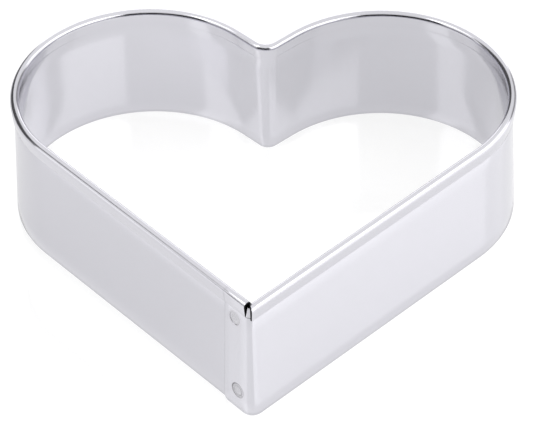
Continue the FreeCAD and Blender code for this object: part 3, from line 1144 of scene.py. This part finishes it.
    def _mark_hollow(self, piece: bpy.types.Object, marks: SheetMarks) -> None:
        """Mark the faces inside the hem and at its two open ends, which no light reaches.

        Args:
            piece: The thickened strip.
            marks: Where the sheet's parts begin.
        """
        mesh = piece.data
        outer = {v.index for v in mesh.vertices if len(v.groups) > 0}
        sheet = mesh.uv_layers[STRIP_UV].data
        left_end = min(loop.uv.x for loop in sheet)
        hollow = mesh.attributes.new(HOLLOW, "FLOAT", "FACE")
        for face in mesh.polygons:
            corners = [sheet[loop].uv for loop in face.loop_indices]
            along = sum(corner.x for corner in corners) / len(corners)
            across = sum(corner.y for corner in corners) / len(corners)
            in_hem = face.center.z > self.sizes.neck + self.sizes.lip_clearance
            behind = sum(index in outer for index in face.vertices)
            at_end = behind > 0 and not left_end + self.edge_round < along < marks.fold
            inside = behind == len(corners) and (along < marks.fold or across > marks.tongue_top)
            share = self.cut_end_share if at_end and along > marks.fold and not inside else 1.0
            shut = in_hem and (inside or at_end and across > marks.tongue_top)
            hollow.data[face.index].value = share * shut

    def _lap_edge(self) -> LapEdge:
        """Return where the tab's free end lies on the wall beneath."""
        path = self.path
        return LapEdge(self._tab_foot(), path.up_left, path.lap_out, self.sizes.sheet)


@dataclass
class SpotWeld:
    """A spot weld through the lap: a nugget with a lip and an electrode's dent in each face."""

    name: str
    node: Node
    axis: Vector
    lap_middle: Vector
    thickness: float
    finish: WeldSteel = WeldSteel()
    diameter: float = 2.6 * MM
    fit: float = 0.02 * MM
    lip_width: float = 0.2 * MM
    lip_rings: int = 3
    lip_rise: float = 0.015 * MM
    dent_depth: float = 0.03 * MM
    dent_wall: float = 0.06 * MM
    floor_rise: float = 0.04 * MM
    floor_rings: int = 4
    mark: float = 1.0
    points: int = 64
    end_facing: float = 0.9
    smooth_angle: float = math.radians(50.0)

    @property
    def centre(self) -> Vector:
        """Middle of the weld: that of its CAD node, moved onto the middle of the lap."""
        middle = sum(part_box(self.node.value), Vector()) / 2
        return middle - self.axis * (middle - self.lap_middle).dot(self.axis)

    def blank(self, name: str, radius: float, length: float) -> bpy.types.Object:
        """Add a round blank on the weld's axis.

        Args:
            name: Name of the new object.
            radius: Radius of the blank.
            length: Length along the axis.

        Returns:
            The blank, with its place in its mesh.
        """
        turn = self.axis.to_track_quat("Z", "Y").to_euler()
        bpy.ops.object.select_all(action="DESELECT")
        bpy.ops.mesh.primitive_cylinder_add(
            vertices=self.points, radius=radius, depth=length, location=self.centre,
            rotation=turn)
        blank = bpy.context.object
        blank.name = name
        bpy.ops.object.transform_apply(location=True, rotation=True, scale=True)
        return blank

    def build(self) -> bpy.types.Object:
        """Model the nugget and dress it.

        Returns:
            The finished piece.
        """
        piece = self.blank(self.name, self.diameter / 2 - self.fit, self.thickness)
        bpy.ops.object.mode_set(mode="EDIT")
        bpy.ops.mesh.select_mode(type="FACE")
        mesh = bmesh.from_edit_mesh(piece.data)
        for face in mesh.faces:
            face.select_set(abs(face.normal.dot(self.axis)) > self.end_facing)
        bmesh.update_edit_mesh(piece.data)
        lip_step = self.lip_width / self.lip_rings
        floor_step = (self.diameter / 2 - self.lip_width - self.dent_wall) / self.floor_rings
        steps = ((lip_step, self.lip_rise), (lip_step, 0.0), (lip_step, -self.lip_rise),
                 (self.dent_wall, -self.dent_depth), (floor_step, self.floor_rise),
                 (floor_step, self.floor_rise / 2), (floor_step, 0.0))
        for width, rise in steps:
            bpy.ops.mesh.inset(thickness=width, depth=rise, use_individual=True)
        bpy.ops.object.mode_set(mode="OBJECT")
        bpy.ops.object.shade_smooth_by_angle(angle=self.smooth_angle)
        finish_piece(piece, self.finish.make(self.centre), self.node)
        return piece


@dataclass(frozen=True)
class PhotoCamera:
    """The camera at the photograph's viewing angle."""

    name: str = "photo_camera"
    target: Vector = field(default_factory=lambda: Vector((1.09, -2.95, 12.5)) * MM)
    azimuth: float = math.radians(2.779)
    elevation: float = math.radians(41.133)
    roll: float = math.radians(-1.326)
    distance: float = 607.0 * MM
    focal_pixels: float = 3400.0
    image_width: float = 533.0
    sensor: float = 36.0

    def make(self) -> bpy.types.Object:
        """Add the camera and make it the scene's own.

        Returns:
            The camera object.
        """
        data = bpy.data.cameras.new(self.name)
        data.sensor_width = self.sensor
        data.lens = self.focal_pixels / self.image_width * self.sensor
        camera = bpy.data.objects.new(self.name, data)
        bpy.context.scene.collection.objects.link(camera)
        back = level_vector(self.azimuth - math.pi / 2, math.cos(self.elevation))
        back.z = math.sin(self.elevation)
        right = level_vector(self.azimuth)
        up = back.cross(right)
        x_axis = right * math.cos(self.roll) + up * math.sin(self.roll)
        y_axis = up * math.cos(self.roll) - right * math.sin(self.roll)
        turned = Matrix((x_axis, y_axis, back)).transposed().to_4x4()
        camera.matrix_world = Matrix.Translation(self.target + back * self.distance) @ turned
        bpy.context.scene.camera = camera
        return camera


@dataclass(frozen=True)
class WhiteTable:
    """A white table top that keeps the object's soft shadow."""

    name: str = "white_table"
    half_width: float = 10.0
    drop: float = 0.02 * MM
    colour: tuple[float, float, float] = (0.28, 0.28, 0.28)
    glow: float = 0.72
    open_glow: float = 0.06
    roughness: float = 0.05
    ior: float = 1.8

    def make(self) -> None:
        """Add the table as part of the stage."""
        bpy.ops.object.select_all(action="DESELECT")
        bpy.ops.mesh.primitive_plane_add(size=2 * self.half_width, location=-self.drop * UP)
        table = bpy.context.object
        table.name = self.name
        bpy.ops.object.transform_apply(location=True, rotation=True, scale=True)
        material = bpy.data.materials.new(self.name)
        material.use_nodes = True
        desk = Wiring(material.node_tree)
        shader = material.node_tree.nodes["Principled BSDF"]
        shader.inputs["Base Color"].default_value = (*self.colour, 1.0)
        shader.inputs["Roughness"].default_value = self.roughness
        shader.inputs["IOR"].default_value = self.ior
        shader.inputs["Emission Color"].default_value = WHITE
        rays = desk.add("ShaderNodeLightPath").outputs
        seen = desk.math("MAXIMUM", rays["Is Camera Ray"], rays["Is Glossy Ray"])
        clear = desk.math("MAXIMUM", seen, rays["Is Transmission Ray"])
        steady = desk.math("MULTIPLY", clear, self.glow)
        glow = desk.math("MULTIPLY_ADD", rays["Is Camera Ray"], self.open_glow, steady)
        desk.put(glow, shader.inputs["Emission Strength"])
        table.data.materials.append(material)


@dataclass(frozen=True)
class TentPanel:
    """A four-sided part of the tent with a level of its own.

    Bearings are degrees from the camera's side, growing to the right.
    Heights are degrees above level.
    """

    name: str
    left: float
    right: float
    low: float
    high: float
    level: float


@dataclass(frozen=True)
class SoftTent:
    """A white tent round the table: lamps behind some panels, openings and unlit cloth at others.

    Each panel lies over those before it.
    """

    name: str = "soft_tent"
    level: float = 1.1
    edge: float = math.radians(2.5)
    panels: tuple[TentPanel, ...] = (
        TentPanel("tent_wall", -180.0, 180.0, -5.0, 40.0, 1.0),
        TentPanel("rear_lamp", 155.0, 222.0, -5.0, 20.0, 1.8),
        TentPanel("right_rear_gap", 120.0, 155.0, -5.0, 25.0, 0.35),
        TentPanel("right_wall", 21.0, 120.0, -5.0, 23.0, 1.5),
        TentPanel("right_lamp", 21.0, 78.0, 23.0, 42.0, 3.2),
        TentPanel("right_lamp_side", 78.0, 102.0, 23.0, 42.0, 2.9),
        TentPanel("right_lamp_end", 102.0, 130.0, 23.0, 42.0, 1.8),
        TentPanel("left_rear_gap", -160.0, -98.0, -5.0, 42.0, 0.1),
        TentPanel("left_gap_edge", -98.0, -90.0, -5.0, 42.0, 0.25),
        TentPanel("left_wall", -90.0, -53.0, -5.0, 42.0, 1.1),
        TentPanel("front_opening", -53.0, 21.0, -5.0, 40.0, 0.02),
        TentPanel("front_header", -53.0, 21.0, 40.0, 50.0, 0.75),
        TentPanel("opening_edge", 19.0, 28.0, 4.0, 33.0, 0.15),
        TentPanel("opening_fold", 28.0, 37.0, 10.0, 27.0, 0.6),
        TentPanel("left_foot_gap", -82.0, -51.0, -5.0, 12.0, 0.05),
        TentPanel("left_lamp", -96.0, -53.0, 42.0, 50.0, 2.8),
        TentPanel("left_lamp_top", -86.0, -53.0, 50.0, 64.0, 3.3),
    )

    def make(self) -> None:
        """Set the world's light."""
        world = bpy.data.worlds.new(self.name)
        bpy.context.scene.world = world
        world.use_nodes = True
        desk = Wiring(world.node_tree)
        place = desk.add("ShaderNodeTexCoord").outputs["Generated"]
        axes = desk.add("ShaderNodeSeparateXYZ", Vector=place).outputs
        ahead = desk.math("MULTIPLY", axes["Y"], -1.0)
        bearing = desk.math("ARCTAN2", axes["X"], ahead)
        height = desk.math("ARCSINE", axes["Z"])
        group = self._panel_group()
        level: bpy.types.NodeSocket | float = self.level
        for panel in self.panels:
            laid = desk.add("ShaderNodeGroup", tree=group, **{
                "Around": level, "Bearing": bearing, "Height": height, "Edge": self.edge,
                "Middle": math.radians((panel.left + panel.right) / 2),
                "Half Width": math.radians((panel.right - panel.left) / 2),
                "Low": math.radians(panel.low), "High": math.radians(panel.high),
                "Level": panel.level})
            laid.label = panel.name
            level = laid.outputs["Level"]
        backdrop = world.node_tree.nodes["Background"]
        backdrop.inputs["Color"].default_value = WHITE
        desk.put(level, backdrop.inputs["Strength"])

    @staticmethod
    def _panel_group() -> bpy.types.NodeTree:
        """Make the node group that lays one panel over the tent's level.

        Returns:
            The node group.
        """
        inputs = ("Around", "Bearing", "Height", "Middle", "Half Width", "Low", "High", "Level",
                  "Edge")
        tree, desk, given = new_group("tent_panel", inputs, ("Level",))
        offset = desk.math("SUBTRACT", given["Bearing"], given["Middle"])
        turn = desk.math("ABSOLUTE", desk.math("WRAP", offset, math.pi, -math.pi))
        beside = desk.ramp(desk.math("SUBTRACT", given["Half Width"], turn), given["Edge"])
        above = desk.ramp(desk.math("SUBTRACT", given["Height"], given["Low"]), given["Edge"])
        below = desk.ramp(desk.math("SUBTRACT", given["High"], given["Height"]), given["Edge"])
        cover = desk.math("MULTIPLY", beside, desk.math("MULTIPLY", above, below))
        change = desk.math("SUBTRACT", given["Level"], given["Around"])
        desk.give("Level", desk.math("MULTIPLY_ADD", cover, change, given["Around"]))
        return tree


def main() -> None:
    """Build the pieces, the stage, the light and the camera."""
    logging.basicConfig(level=logging.INFO, format="%(name)s: %(message)s")
    bpy.context.scene.view_settings.view_transform = "Standard"
    sizes = StripSizes.from_frame()
    path = HeartPath(sizes)
    through = (sizes.lap_step + sizes.sheet) * math.cos(sizes.wall_lean)
    middle = path.bend_end + path.out_left * (sizes.sheet - sizes.lap_step) / 2 + UP * sizes.neck
    faint = WeldSteel(rim_tone=0.95)
    welds = [SpotWeld("upper_weld", Node.UPPER_WELD, path.lap_out, middle, through, faint,
                      lip_rise=0.01 * MM, dent_depth=0.015 * MM, fit=0.005 * MM, mark=0.15),
             SpotWeld("lower_weld", Node.LOWER_WELD, path.lap_out, middle, through)]
    HeartStrip(sizes, path, welds).build()
    for weld in welds:
        weld.build()
    WhiteTable().make()
    SoftTent().make()
    PhotoCamera().make()


if __name__ == "__main__":
    main()
